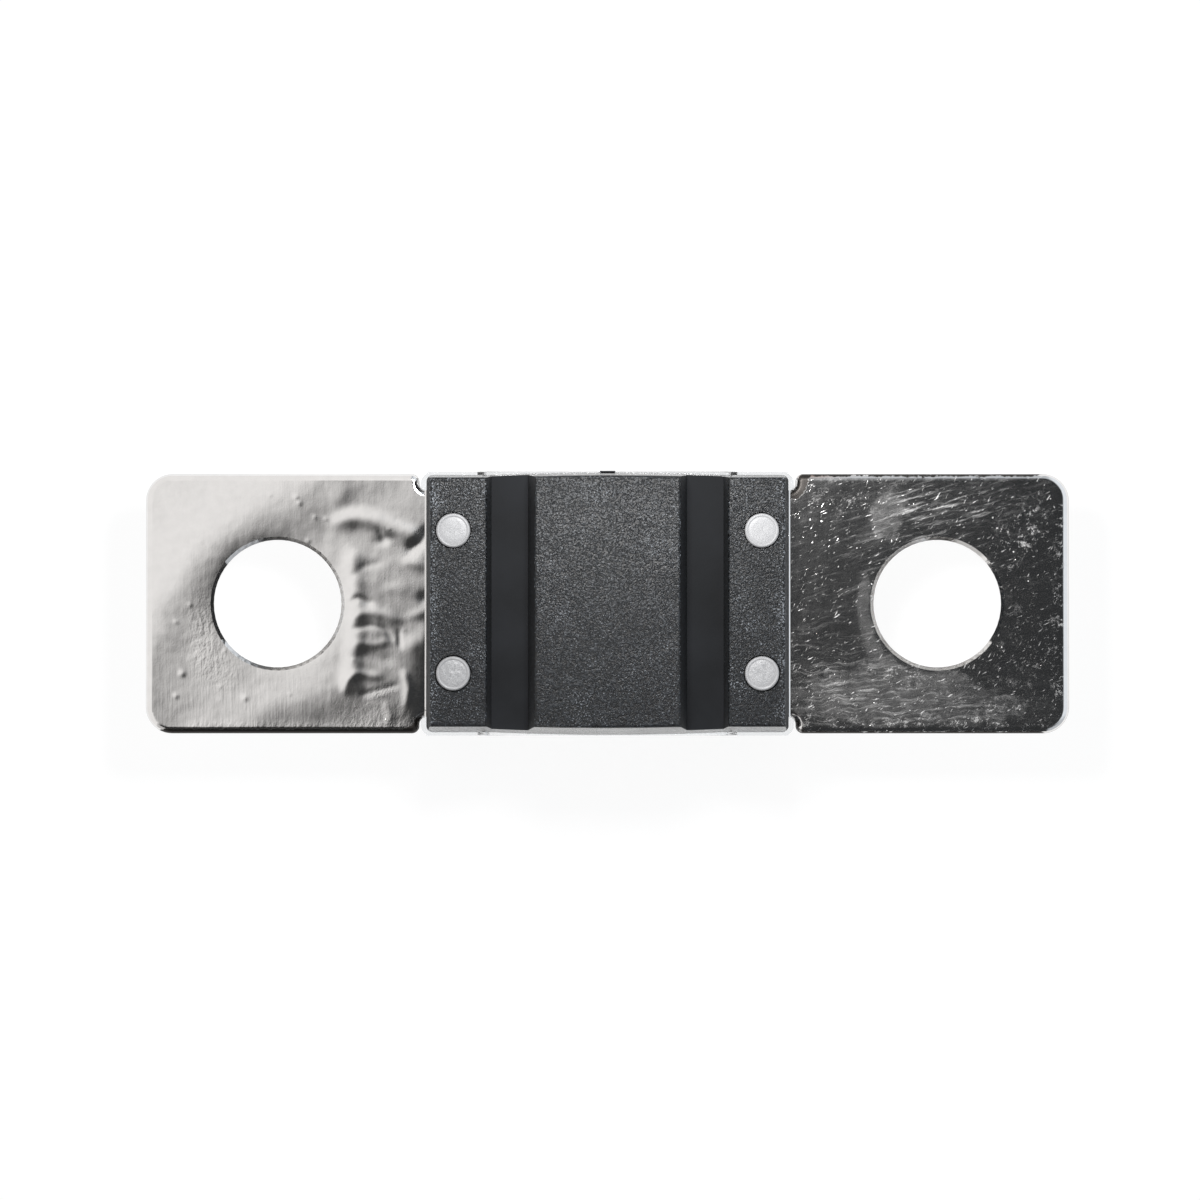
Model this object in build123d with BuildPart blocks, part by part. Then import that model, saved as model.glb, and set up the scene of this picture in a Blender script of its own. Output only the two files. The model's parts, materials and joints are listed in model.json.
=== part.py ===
"""Bolt-down strip fuse: a stamped strip clamped between a moulded base and a clear cover.

Millimetres, +Z up. The origin lies on the flat outer face of the cover, under the middle of the
fuse. +X runs along the strip from stud hole to stud hole, and the moulded base is on top.
The cover's own pegs pass through the strip and the base, and are staked over on the base.
"""
import os
from math import radians, tan

from build123d import *

os.makedirs("parts", exist_ok=True)

# Strip, one stamping
stud_spacing = 30.0
stud_hole_diameter = 5.8
stud_end_distance = 6.0
strip_width = 11.8
strip_thickness = 1.0
blade_corner_radius = 1.2
die_roll = 0.28
hole_roll = 0.15
waist_depth = 0.75
shoulder_radius = 0.35
blade_coin_depth = 0.04
blade_coin_ramp = 0.06

# Fusible link, coined thinner than the strip and slotted to an S
link_thickness = 0.6
link_slot_width = 1.5
link_bar_width = 2.4
link_path_width = 2.0

# Tin pill seated in the middle of the link
pill_diameter = 1.1
pill_proud = 0.12
pill_chamfer = 0.08
pill_clearance = 0.02

# Moulded base, heights from the strip's upper face
base_length = 16.46
base_inset = 0.05
base_draft = 4.5
base_corner_radius = 0.3
base_edge_radius = 0.12
block_height = 4.0
pad_height = 3.2
pad_length = 2.81
groove_width = 2.15
groove_floor_height = 2.0
groove_wall_angle = 9.0
side_bow = 0.12
side_bow_inset = 0.1
blade_to_base = 0.02
gate_width = 0.7
gate_proud = 0.03
gate_height = 0.8

# Clear cover, depths from the strip's lower face
cover_depth = 4.0
cover_end_overhang = 0.29
cover_side_overhang = 0.1
cover_draft = 3.0
cover_corner_radius = 0.5
cover_edge_radius = 0.25
shelf_depth = 3.0
shelf_length = 2.92
shelf_wall_angle = 20.0
neck_clearance = 0.05
blade_to_cover = 0.06

# Hollow around the link
end_wall = 3.53
side_wall = 1.25
roof_wall = 1.0
link_end_clearance = 0.2
chamber_draft = 1.0
chamber_corner_radius = 0.4

# Pegs of the cover, staked on the base
peg_end_distance = 1.3
peg_side_distance = 2.69
peg_diameter = 1.2
peg_hole_clearance = 0.1
peg_head_diameter = 1.54
peg_head_clearance = 0.05
peg_head_proud = 0.14
peg_head_chamfer = 0.08
peg_seat_depth = 0.4

# Most of a wall's thickness that a fillet takes, and how far a cutting shape runs past the part
fillet_share = 0.9
margin = 1.0

# Widths and lengths worked out from the sizes above
strip_length = stud_spacing + 2 * stud_end_distance
neck_width = strip_width - 2 * waist_depth
base_width = strip_width - 2 * base_inset
cover_width = strip_width + 2 * cover_side_overhang
cover_length = base_length + 2 * cover_end_overhang
wall_width = (cover_width - neck_width) / 2 - neck_clearance
chamber_length = base_length - 2 * end_wall
chamber_width = base_width - 2 * side_wall
link_length = chamber_length - 2 * link_end_clearance
link_slot_length = neck_width - link_path_width + link_slot_width
link_slot_centre = ((link_bar_width + link_slot_width) / 2, (link_path_width + link_slot_width) / 2)
pill_length = link_thickness + 2 * pill_proud
groove_outer_spacing = base_length - 2 * pad_length
block_length = groove_outer_spacing - 2 * groove_width
loft_length = block_length - 2 * roof_wall
window_length = cover_length - 2 * shelf_length
peg_spacing_x = base_length - 2 * peg_end_distance
peg_spacing_y = strip_width - 2 * peg_side_distance
peg_hole_diameter = peg_diameter + 2 * peg_hole_clearance
peg_seat_diameter = peg_head_diameter + 2 * peg_head_clearance
shoulder_round = min(shoulder_radius, waist_depth * fillet_share / 2)
shoulder_x = base_length / 2 + shoulder_round
bow_y = base_width / 2 + side_bow
coin_depth = (strip_thickness - link_thickness) / 2

# Levels from the face that the fuse rests on
strip_lower = cover_depth
strip_upper = strip_lower + strip_thickness
shelf_level = cover_depth - shelf_depth
groove_level = strip_upper + groove_floor_height
pad_level = strip_upper + pad_height
block_level = strip_upper + block_height
seat_level = pad_level - peg_seat_depth

blade_lower = strip_lower + blade_coin_depth
blade_upper = strip_upper - blade_coin_depth

# Ends of the neck's full thickness, above and below
neck_upper_x = base_length / 2 + blade_to_base
neck_lower_x = cover_length / 2 + blade_to_cover - blade_coin_ramp

# Feet of the sloped walls across the base and the cover
groove_slope = tan(radians(groove_wall_angle))
groove_inner_x = block_length / 2 + (block_height - groove_floor_height) * groove_slope
groove_outer_x = groove_outer_spacing / 2 - (pad_height - groove_floor_height) * groove_slope
shelf_x = window_length / 2 + shelf_level * tan(radians(shelf_wall_angle))


# Strip: coined blades with rolled upper edges, full-thickness neck, holes and slotted link
with BuildPart() as fuse_strip:
    with BuildSketch(Plane.XY.offset(strip_lower)) as outline:
        Rectangle(strip_length, strip_width)
        fillet(outline.vertices(), blade_corner_radius)
        with GridLocations(1, strip_width - waist_depth, 1, 2):
            Rectangle(2 * shoulder_x, waist_depth, mode=Mode.SUBTRACT)
        shoulders = outline.vertices().filter_by_position(Axis.X, -shoulder_x, shoulder_x)
        fillet(shoulders, shoulder_round)
    extrude(amount=strip_thickness - blade_coin_depth)
    fillet(fuse_strip.faces().sort_by(Axis.Z)[-1].outer_wire().edges(), die_roll)
    with Locations(Plane.XY.offset(blade_upper)):
        with GridLocations(stud_spacing, 1, 2, 1):
            Hole(stud_hole_diameter / 2)
    rims = fuse_strip.edges().filter_by(GeomType.CIRCLE).group_by(Axis.Z)[-1]
    chamfer(rims, hole_roll)
    with BuildSketch(Plane.XZ):
        with BuildLine():
            Polyline(
                (0, strip_lower),
                (neck_upper_x, strip_lower),
                (neck_upper_x + blade_coin_ramp, blade_upper),
                (neck_upper_x, strip_upper),
                (0, strip_upper),
                close=True,
            )
        make_face()
        mirror(about=Plane.YZ)
    extrude(amount=neck_width / 2, both=True)
    with BuildSketch(Plane.XZ):
        with BuildLine():
            Polyline(
                (neck_lower_x, strip_lower - margin),
                (neck_lower_x, strip_lower),
                (neck_lower_x + blade_coin_ramp, blade_lower),
                (strip_length / 2 + margin, blade_lower),
                (strip_length / 2 + margin, strip_lower - margin),
                close=True,
            )
        make_face()
        mirror(about=Plane.YZ)
    extrude(amount=strip_width / 2 + margin, both=True, mode=Mode.SUBTRACT)
    with Locations(Plane.XY.offset(strip_upper)):
        with GridLocations(peg_spacing_x, peg_spacing_y, 2, 2):
            Hole(peg_hole_diameter / 2)
    with BuildSketch(Plane.XY.offset(strip_lower), Plane.XY.offset(strip_upper - coin_depth)):
        Rectangle(link_length, strip_width)
    extrude(amount=coin_depth, mode=Mode.SUBTRACT)
    with BuildSketch(Plane.XY.offset(strip_lower)):
        with PolarLocations(0, 2):
            with Locations(link_slot_centre):
                SlotOverall(link_slot_length, link_slot_width, rotation=90)
        Circle(pill_diameter / 2 + pill_clearance)
    extrude(amount=strip_thickness, mode=Mode.SUBTRACT)
fuse_strip.part.label = "fuse_strip"
export_step(fuse_strip.part, "parts/fuse_strip.step")


# Tin pill: a short rivet through the middle of the link
with BuildPart() as tin_pill:
    with BuildSketch(Plane.XY.offset((strip_lower + strip_upper - pill_length) / 2)):
        Circle(pill_diameter / 2)
    extrude(amount=pill_length)
    chamfer(tin_pill.edges().filter_by(GeomType.CIRCLE), pill_chamfer)
tin_pill.part.label = "tin_pill"
export_step(tin_pill.part, "parts/tin_pill.step")


# Base: drafted body with bowed sides, stepped into pads, grooves and block, hollow over the link
with BuildPart() as base:
    with BuildSketch(Plane.XY.offset(strip_upper)) as foot:
        Rectangle(base_length, base_width)
        fillet(foot.vertices(), base_corner_radius)
        for side in (1, -1):
            bow_start = (side_bow_inset - groove_outer_spacing / 2, side * base_width / 2)
            bow_end = (groove_outer_spacing / 2 - side_bow_inset, side * base_width / 2)
            with BuildLine():
                ThreePointArc(bow_start, (0, side * bow_y), bow_end)
                Line(bow_end, bow_start)
            make_face()
    extrude(amount=block_height)
    sides = base.faces().filter_by(Axis.Z, reverse=True)
    draft(sides, Plane.XY.offset(strip_upper), base_draft)
    with BuildSketch(Plane.XZ):
        with BuildLine():
            Polyline(
                (block_length / 2, block_level + margin),
                (block_length / 2, block_level),
                (groove_inner_x, groove_level),
                (groove_outer_x, groove_level),
                (groove_outer_spacing / 2, pad_level),
                (base_length / 2 + margin, pad_level),
                (base_length / 2 + margin, block_level + margin),
                close=True,
            )
        make_face()
        mirror(about=Plane.YZ)
    extrude(amount=bow_y + margin, both=True, mode=Mode.SUBTRACT)
    tops = base.faces().filter_by(Axis.Z).filter_by(lambda face: face.center().Z > groove_level)
    top_edges = tops.edges().filter_by(lambda edge: edge.center().Z > groove_level)
    fillet(top_edges, base_edge_radius)
    with BuildSketch(Plane.XY.offset(strip_upper)):
        with Locations((0, bow_y)):
            Rectangle(gate_width, 2 * gate_proud)
    extrude(amount=gate_height)
    with BuildSketch(Plane.XY.offset(strip_upper)) as low_hollow:
        Rectangle(chamber_length, chamber_width)
        fillet(low_hollow.vertices(), chamber_corner_radius)
    extrude(amount=groove_floor_height - roof_wall, taper=chamber_draft, mode=Mode.SUBTRACT)
    with BuildSketch(Plane.XY.offset(strip_upper)) as high_hollow:
        Rectangle(loft_length, chamber_width)
        fillet(high_hollow.vertices(), chamber_corner_radius)
    extrude(amount=block_height - roof_wall, taper=chamber_draft, mode=Mode.SUBTRACT)
    with Locations(Plane.XY.offset(pad_level)):
        with GridLocations(peg_spacing_x, peg_spacing_y, 2, 2):
            CounterBoreHole(peg_hole_diameter / 2, peg_seat_diameter / 2, peg_seat_depth)
base.part.label = "base"
export_step(base.part, "parts/base.step")


# Cover: drafted tray with a raised window, walls beside the neck and four staked pegs
with BuildPart() as cover:
    with BuildSketch(Plane((0, 0, strip_lower), x_dir=(1, 0, 0), z_dir=(0, 0, -1))) as rim:
        RectangleRounded(cover_length, cover_width, cover_corner_radius)
    extrude(amount=cover_depth, taper=cover_draft)
    with BuildSketch(Plane.XZ):
        with BuildLine():
            Polyline(
                (window_length / 2, -margin),
                (window_length / 2, 0),
                (shelf_x, shelf_level),
                (cover_length / 2 + margin, shelf_level),
                (cover_length / 2 + margin, -margin),
                close=True,
            )
        make_face()
        mirror(about=Plane.YZ)
    extrude(amount=cover_width / 2 + margin, both=True, mode=Mode.SUBTRACT)
    window = cover.faces().sort_by(Axis.Z)[0]
    fillet(window.edges(), cover_edge_radius)
    with BuildSketch(Plane.XY.offset(strip_lower)):
        with GridLocations(1, cover_width - wall_width, 1, 2):
            Rectangle(base_length, wall_width)
    extrude(amount=strip_thickness)
    with BuildSketch(Plane((0, 0, strip_lower), x_dir=(1, 0, 0), z_dir=(0, 0, -1))) as tray:
        Rectangle(chamber_length, chamber_width)
        fillet(tray.vertices(), chamber_corner_radius)
    extrude(amount=cover_depth - roof_wall, taper=chamber_draft, mode=Mode.SUBTRACT)
    with BuildSketch(Plane.XY.offset(strip_lower)):
        with GridLocations(peg_spacing_x, peg_spacing_y, 2, 2):
            Circle(peg_diameter / 2)
    extrude(amount=seat_level - strip_lower)
    with BuildSketch(Plane.XY.offset(seat_level)):
        with GridLocations(peg_spacing_x, peg_spacing_y, 2, 2):
            Circle(peg_head_diameter / 2)
    extrude(amount=peg_seat_depth + peg_head_proud)
    chamfer(cover.edges().filter_by(GeomType.CIRCLE).group_by(Axis.Z)[-1], peg_head_chamfer)
cover.part.label = "cover"
export_step(cover.part, "parts/cover.step")
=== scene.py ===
"""Looks of a bolt-down strip fuse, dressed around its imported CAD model.

Metres, in the CAD frame: +X along the strip from stud hole to stud hole, +Y across it and +Z up
from the clear cover to the black base. Sizes in the classes below are millimetres.
"""
import json
import logging
import math
from dataclasses import dataclass
from enum import Enum

import bmesh
import bpy
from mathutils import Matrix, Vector, noise


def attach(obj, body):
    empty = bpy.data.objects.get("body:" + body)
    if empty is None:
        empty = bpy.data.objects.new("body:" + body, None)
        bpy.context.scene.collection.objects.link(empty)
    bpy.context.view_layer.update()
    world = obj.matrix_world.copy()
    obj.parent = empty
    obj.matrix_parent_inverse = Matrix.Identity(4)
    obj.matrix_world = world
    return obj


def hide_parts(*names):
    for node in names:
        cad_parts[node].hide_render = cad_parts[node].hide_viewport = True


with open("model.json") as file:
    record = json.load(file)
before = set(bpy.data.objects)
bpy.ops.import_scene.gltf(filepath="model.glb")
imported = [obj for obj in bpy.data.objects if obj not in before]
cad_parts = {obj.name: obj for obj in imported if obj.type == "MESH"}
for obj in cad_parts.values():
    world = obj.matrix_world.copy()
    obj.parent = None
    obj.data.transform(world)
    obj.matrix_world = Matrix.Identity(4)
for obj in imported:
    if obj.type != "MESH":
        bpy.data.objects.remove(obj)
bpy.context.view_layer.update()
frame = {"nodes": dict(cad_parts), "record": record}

MM = 0.001
TOUCH = 1e-8  # metres, the reach of a cutting plane
WELD = 0.001  # millimetres, under which two points are one
FLAT = math.radians(0.3)  # turn under which two faces are one
LOG = logging.getLogger("strip_fuse")
Colour = tuple[float, float, float]
Point = tuple[float, float]
Span = tuple[float, float]


class Side(Enum):
    """The strip's two blades, by the sign of their X."""

    LEFT = -1
    RIGHT = 1


class Axis(Enum):
    """The axes of the CAD frame, by their place in a vector."""

    X = 0
    Y = 1
    Z = 2


class Ray(Enum):
    """The kinds of ray that a shader tells apart."""

    CAMERA = "Is Camera Ray"
    GLOSSY = "Is Glossy Ray"
    TRANSMISSION = "Is Transmission Ray"


@dataclass(frozen=True)
class Places:
    """Sizes and places that several pieces and finishes share, in millimetres."""

    strip_length: float
    strip_width: float
    head_top: float
    hole_x: float
    hole_radius: float
    strip_upper: float = 5.0
    blade_upper: float = 4.96
    blade_lower: float = 4.04
    peg_x: float = 6.93
    peg_y: float = 3.21

    @classmethod
    def from_frame(cls) -> "Places":
        """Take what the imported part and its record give."""
        strip = frame["nodes"]["fuse_strip"].dimensions / MM
        cover = frame["nodes"]["cover"].dimensions / MM
        mounts = {mount["name"]: mount["dims"] for mount in frame["record"]["mounts"]}
        studs = mounts["stud_pair"]
        return cls(strip.x, strip.y, cover.z, studs["spacing_x_mm"] / 2, studs["hole_r_mm"])


PLACES = Places.from_frame()


# Shader maths

class Wire:
    """One shader value, which plain arithmetic turns into Math nodes."""

    def __init__(self, nodes: "Nodes", socket: bpy.types.NodeSocket) -> None:
        """Keep the socket and the nodes it belongs to."""
        self.nodes = nodes
        self.socket = socket

    def math(self, operation: str, *values: "Wire | float") -> "Wire":
        """Add one Math node.

        Args:
            operation: Blender's name of the operation.
            values: The inputs in order.

        Returns:
            The node's result.
        """
        return self.nodes.add("ShaderNodeMath", {"operation": operation}, dict(enumerate(values)))

    def __add__(self, other: "Wire | float") -> "Wire":
        """Sum."""
        return self.math("ADD", self, other)

    def __radd__(self, other: float) -> "Wire":
        """Sum with a number on the left."""
        return self.math("ADD", other, self)

    def __sub__(self, other: "Wire | float") -> "Wire":
        """Difference."""
        return self.math("SUBTRACT", self, other)

    def __rsub__(self, other: float) -> "Wire":
        """Difference from a number on the left."""
        return self.math("SUBTRACT", other, self)

    def __mul__(self, other: "Wire | float") -> "Wire":
        """Product."""
        return self.math("MULTIPLY", self, other)

    def __rmul__(self, other: float) -> "Wire":
        """Product with a number on the left."""
        return self.math("MULTIPLY", other, self)

    def __pow__(self, other: "Wire | float") -> "Wire":
        """Power."""
        return self.math("POWER", self, other)


class Nodes:
    """The nodes of one material or world."""

    def __init__(self, tree: bpy.types.NodeTree) -> None:
        """Start from an empty tree."""
        tree.nodes.clear()
        self.tree = tree

    def add(self, kind: str, settings: dict | None = None, sockets: dict | None = None,
            out: int | str = 0) -> Wire:
        """Add one node.

        Args:
            kind: Blender's type name of the node.
            settings: The node's own properties.
            sockets: Values or wires of its inputs, by name or place.
            out: The output that is returned, by name or place.

        Returns:
            The chosen output, or the node's first output.
        """
        node = self.tree.nodes.new(kind)
        for name, value in (settings or {}).items():
            setattr(node, name, value)
        for key, value in (sockets or {}).items():
            if isinstance(value, Wire):
                self.tree.links.new(value.socket, node.inputs[key])
            else:
                node.inputs[key].default_value = value
        return Wire(self, node.outputs[out]) if len(node.outputs) else Wire(self, None)

    def ease(self, value: Wire, low: float, high: float, start: float = 0.0,
             end: float = 1.0) -> Wire:
        """Go smoothly from start to end while a value goes from low to high.

        Args:
            value: The driving value.
            low: Where the change begins.
            high: Where it ends.
            start: Result up to low.
            end: Result from high on.

        Returns:
            The eased value.
        """
        return self.add("ShaderNodeMapRange", {"interpolation_type": "SMOOTHSTEP"}, {
            "Value": value, "From Min": low, "From Max": high, "To Min": start, "To Max": end})

    def blend(self, factor: Wire, first: "Wire | Colour", second: "Wire | Colour") -> Wire:
        """Mix two colours.

        Args:
            factor: 0 for the first colour, 1 for the second.
            first: Colour or wire.
            second: Colour or wire.

        Returns:
            The mixed colour.
        """
        colours = [c if isinstance(c, Wire) else (*c, 1.0) for c in (first, second)]
        return self.add("ShaderNodeMix", {"data_type": "RGBA"},
                        {0: factor, 6: colours[0], 7: colours[1]}, out=2)

    def millimetres(self) -> Wire:
        """Object coordinates in millimetres."""
        place = self.add("ShaderNodeTexCoord", out="Object")
        return self.add("ShaderNodeVectorMath", {"operation": "SCALE"},
                        {0: place, "Scale": 1 / MM})

    def stretch(self, place: Wire, scale: tuple[float, float, float],
                shift: tuple[float, float, float] = (0, 0, 0), turn: float = 0.0) -> Wire:
        """Scale, turn and shift coordinates.

        Args:
            place: The coordinates.
            scale: Factors along the axes, used after the turn.
            shift: Shift that is added last.
            turn: Turn about Z, degrees.

        Returns:
            The new coordinates.
        """
        turned = self.add("ShaderNodeMapping", {"vector_type": "POINT"}, {
            "Vector": place, "Rotation": (0, 0, math.radians(turn))})
        return self.add("ShaderNodeMapping", {"vector_type": "POINT"}, {
            "Vector": turned, "Scale": scale, "Location": shift})

    def part(self, place: Wire, axis: Axis) -> Wire:
        """One part of a vector."""
        return self.add("ShaderNodeSeparateXYZ", None, {0: place}, out=axis.value)

    def attribute(self, name: str, out: str) -> Wire:
        """What the mesh stores under a name."""
        return self.add("ShaderNodeAttribute", {"attribute_name": name}, out=out)

    def hit_by(self, ray: Ray) -> Wire:
        """1 where the ray is of this kind, else 0."""
        return self.add("ShaderNodeLightPath", out=ray.value)

    def largest(self, *values: Wire) -> Wire:
        """The largest of several values."""
        largest = values[0]
        for value in values[1:]:
            largest = largest.math("MAXIMUM", largest, value)
        return largest

    def choose(self, factor: Wire, first: "Wire | float", second: "Wire | float") -> Wire:
        """Mix two numbers.

        Args:
            factor: 0 for the first number, 1 for the second.
            first: Number or wire.
            second: Number or wire.

        Returns:
            The mixed number.
        """
        return self.add("ShaderNodeMix", {"data_type": "FLOAT"}, {0: factor, 2: first, 3: second})

    def clamp(self, value: Wire) -> Wire:
        """A value kept from 0 to 1."""
        return self.add("ShaderNodeClamp", None, {"Value": value})

    def size_of(self, value: Wire) -> Wire:
        """A value without its sign."""
        return value.math("ABSOLUTE", value)

    def away(self, place: Wire, x: float, y: float) -> Wire:
        """Distance in plan from the nearest of four mirrored points.

        Args:
            place: Coordinates in millimetres.
            x: Place of the points along the strip.
            y: Place of the points across it.

        Returns:
            The distance in millimetres.
        """
        across = self.size_of(self.part(place, Axis.X)) - x
        along = self.size_of(self.part(place, Axis.Y)) - y
        return (across * across + along * along) ** 0.5

    def torn(self, place: Wire, scale: float, amount: float) -> Wire:
        """Coordinates that wander, so that a pattern gets torn edges.

        Args:
            place: Coordinates in millimetres.
            scale: Features per millimetre.
            amount: How far they wander, in millimetres.

        Returns:
            The new coordinates.
        """
        wander = self.add("ShaderNodeTexNoise", None, {
            "Vector": place, "Scale": scale, "Detail": 2.0}, out="Color")
        return self.add("ShaderNodeVectorMath", {"operation": "MULTIPLY_ADD"}, {
            0: wander, 1: (amount, amount, amount), 2: place})

    def grain(self, place: Wire, scale: float, detail: float = 2.0, rough: float = 0.5) -> Wire:
        """Soft noise from 0 to 1.

        Args:
            place: Coordinates in millimetres.
            scale: Features per millimetre.
            detail: Octaves.
            rough: Share that each octave keeps.

        Returns:
            The noise value.
        """
        return self.add("ShaderNodeTexNoise", None, {
            "Vector": place, "Scale": scale, "Detail": detail, "Roughness": rough})

    def cells(self, place: Wire, scale: float, out: str = "Distance") -> Wire:
        """Voronoi cells.

        Args:
            place: Coordinates in millimetres.
            scale: Cells per millimetre.
            out: The output.

        Returns:
            The chosen output.
        """
        return self.add("ShaderNodeTexVoronoi", None, {"Vector": place, "Scale": scale}, out=out)

    def bump(self, height: Wire, strength: float, distance: float) -> Wire:
        """Turn a height into a normal.

        Args:
            height: Height from 0 to 1.
            strength: Share of the effect.
            distance: Real height of 1, in millimetres.

        Returns:
            The normal.
        """
        return self.add("ShaderNodeBump", None, {
            "Strength": strength, "Distance": distance * MM, "Height": height})

    def surface(self, shader: Wire) -> None:
        """Send a shader to the material's output."""
        self.add("ShaderNodeOutputMaterial", None, {"Surface": shader})


def new_material(name: str) -> tuple[bpy.types.Material, Nodes]:
    """Make an empty material.

    Args:
        name: Its name.

    Returns:
        The material and its nodes.
    """
    material = bpy.data.materials.new(name)
    material.use_nodes = True
    return material, Nodes(material.node_tree)


# Finishes

class PlateWear:
    """The strip's painted wear, broken up by noise, as masks from 0 to 1."""

    def __init__(self, nodes: Nodes) -> None:
        """Read what is painted on the strip and make the noises that the masks share.

        Args:
            nodes: The material's nodes.
        """
        self.nodes = nodes
        self.place = nodes.millimetres()
        self.up = nodes.part(self.place, Axis.Z)
        painted = nodes.attribute("wear", "Color")
        self.haze, self.streaky, self.crumbly = (
            nodes.add("ShaderNodeSeparateColor", None, {"Color": painted}, out=i) for i in range(3))
        self.bare = nodes.attribute("wear", "Alpha")
        self.right = nodes.ease(nodes.part(self.place, Axis.X), -0.5, 0.5)
        self.cloud = nodes.grain(self.place, 1.6, 5.0, 0.65)
        self.fine = nodes.grain(self.place, 11.0, 3.0, 0.6)
        self.flakes = nodes.grain(nodes.torn(self.place, 3.0, 0.25), 7.0, 4.0, 0.75)
        self.worn = nodes.ease(self.streaky + self.crumbly + self.haze, 0.02, 0.25)

    def patches(self) -> Wire:
        """Hazy patches with ragged edges."""
        ragged = self.nodes.ease(self.haze + (self.cloud - 0.5) * 0.9, 0.42, 0.58)
        return (ragged * 0.4 + self.haze * 0.6) * (self.cloud * 0.72 + self.flakes * 0.62 - 0.05)

    def streaks(self) -> Wire:
        """Long rubbed streaks, level ones everywhere and rising ones on the blade's north side."""
        nodes = self.nodes
        wandering = nodes.torn(self.place, 0.8, 0.8)
        level = nodes.grain(nodes.stretch(wandering, (0.8, 8.0, 1.0), turn=-5.0), 1.0, 3.0, 0.7)
        rising = nodes.grain(nodes.stretch(self.place, (0.6, 6.0, 1.0), turn=-18.0), 1.0, 3.0, 0.65)
        north = nodes.ease(nodes.part(self.place, Axis.Y), -1.5, 1.5)
        return self.streaky * (nodes.ease(rising, 0.5, 0.72) * north * 0.34
                               + nodes.ease(level, 0.46, 0.76) * (0.24 - north * 0.10))

    def crumbs(self) -> Wire:
        """Small pale crumbs in clusters."""
        return self.crumbly * self.nodes.ease(
            self.flakes + (self.cloud - 0.5) * 0.9, 0.55, 0.77) * 0.6

    def scratches(self) -> Wire:
        """Short scratches in two directions."""
        nodes = self.nodes
        dashes = nodes.grain(nodes.stretch(self.place, (2.2, 10.0, 1.0), turn=-24.0), 1.0, 2.0, 0.6)
        nicks = nodes.grain(nodes.stretch(self.place, (11.0, 2.0, 1.0), turn=30.0), 1.0, 2.0, 0.6)
        return self.worn * (nodes.ease(dashes, 0.63, 0.77) + nodes.ease(nicks, 0.65, 0.78)) * 0.45

    def specks(self) -> Wire:
        """Ragged specks: a few large ones, and small ones in clusters."""
        ragged = self.nodes.torn(self.place, 9.0, 0.12)
        clustered = self.nodes.ease(self.cloud, 0.5, 0.62)
        return self._dots(ragged, 1.4, 0.075, 0.0) + self._dots(ragged, 5.0, 0.17, 5.0) * clustered

    def _dots(self, place: Wire, scale: float, size: float, shift: float) -> Wire:
        """Scattered dots of different sizes.

        Args:
            place: Coordinates in millimetres.
            scale: Cells per millimetre, of which one in three holds a dot.
            size: Largest dot, as a share of a cell.
            shift: Shift of the pattern.

        Returns:
            A mask that is 1 in the dots.
        """
        nodes = self.nodes
        moved = nodes.stretch(place, (1, 1, 1), (shift, shift * 0.7, 0))
        gap = nodes.cells(moved, scale)
        kind = nodes.add("ShaderNodeSeparateColor", None, {
            "Color": nodes.cells(moved, scale, out="Color")})
        reach = nodes.ease(kind, 0.72, 1.0, 0.0, size)
        return reach.math("GREATER_THAN", reach, gap)

    def painted_edge_shade(self) -> Wire:
        """Painted shade on the rolled edges and in the neck's corners, with torn borders and none on
        the underside.
        """
        nodes = self.nodes
        border = (nodes.grain(self.place, 4.0, 4.0, 0.7) - 0.5) * 1.2
        above = nodes.ease(self.up, 4.2, 4.4)
        # painted shade: rolled edges dark where they mirror dark surroundings, and the neck's corners
        # dark as in shadow
        return nodes.ease(nodes.attribute("soil", "Fac") + border, 0.42, 0.58) * above

    def wall_shade(self) -> Wire:
        """The sheared walls of the outline, which the holes don't have, as a mask of painted shade."""
        nodes = self.nodes
        outside = nodes.ease(nodes.away(self.place, PLACES.hole_x, 0.0),
                             PLACES.hole_radius + 0.3, PLACES.hole_radius + 0.5)
        return nodes.ease(self.up, 4.80, 4.72) * nodes.ease(self.up, 4.03, 4.09) * outside

    def brushing(self, waves: Wire, specks: Wire) -> Wire:
        """Height of the left blade's brushed and crumbly skin.

        Args:
            waves: Shallow waves of the metal.
            specks: The mask of the specks.

        Returns:
            The height.
        """
        nodes = self.nodes
        brushed = nodes.grain(nodes.stretch(self.place, (9.0, 0.6, 1.0)), 1.0, 3.0, 0.6)
        wavy = nodes.grain(nodes.stretch(self.place, (5.0, 3.0, 1.0)), 1.0, 3.0, 0.6)
        return (brushed * (0.05 + self.streaky * 0.3) + waves * 0.3
                + wavy * self.crumbly * 1.6 + specks * self.crumbly)


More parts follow.
